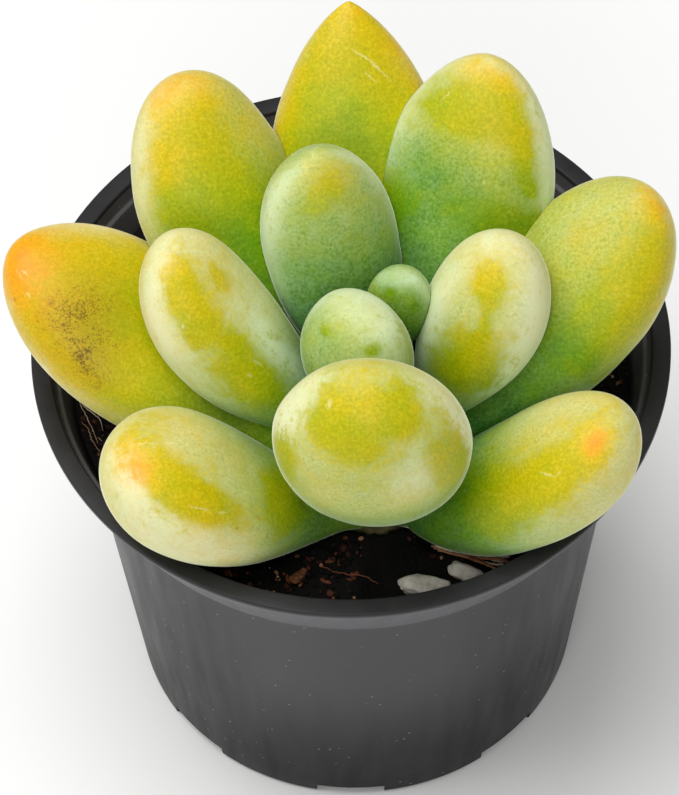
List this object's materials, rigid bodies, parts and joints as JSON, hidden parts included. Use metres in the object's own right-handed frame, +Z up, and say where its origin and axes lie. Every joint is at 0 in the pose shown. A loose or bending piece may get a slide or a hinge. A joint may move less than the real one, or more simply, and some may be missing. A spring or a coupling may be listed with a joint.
{
  "type": "potted graptosedum succulent",
  "caption": "Rosette succulent with plump yellow-green leaves on a short leaning stem, rooted in soil in a round black nursery pot that stands on its flat base.",
  "frame": {"origin": "middle of the pot's underside, on the surface that the pot stands on", "axes": "+Z up along the pot's axis; -Y is the pot's front, which the plant's lowest opening faces; +X to the right seen from the front"},
  "size_m": [0.072, 0.07, 0.086],
  "materials": {
    "pot_polypropylene": "satin",
    "potting_soil": "matte",
    "stem_bark": "matte",
    "leaf_golden": "satin",
    "leaf_green": "satin",
    "leaf_pale": "satin",
    "white_stone": "matte",
    "pine_bark": "matte"
  },
  "bodies": {
    "root": {"pot": "pot_polypropylene", "soil": "potting_soil", "stem": "stem_bark", "leaf_front": "leaf_golden", "leaf_centre": "leaf_pale", "leaf_smallest": "leaf_pale", "leaf_inner_left": "leaf_green", "leaf_inner_right": "leaf_green", "leaf_inner_back": "leaf_pale", "leaf_back_right": "leaf_green", "leaf_back_left": "leaf_green", "leaf_back": "leaf_golden", "leaf_outer_right": "leaf_green", "leaf_outer_left": "leaf_golden", "leaf_low_right": "leaf_golden", "leaf_low_left": "leaf_golden", "stone_large": "white_stone", "stone_small": "white_stone", "bark_chip_left": "pine_bark", "bark_chip_back": "pine_bark"}
  },
  "joints": []
}
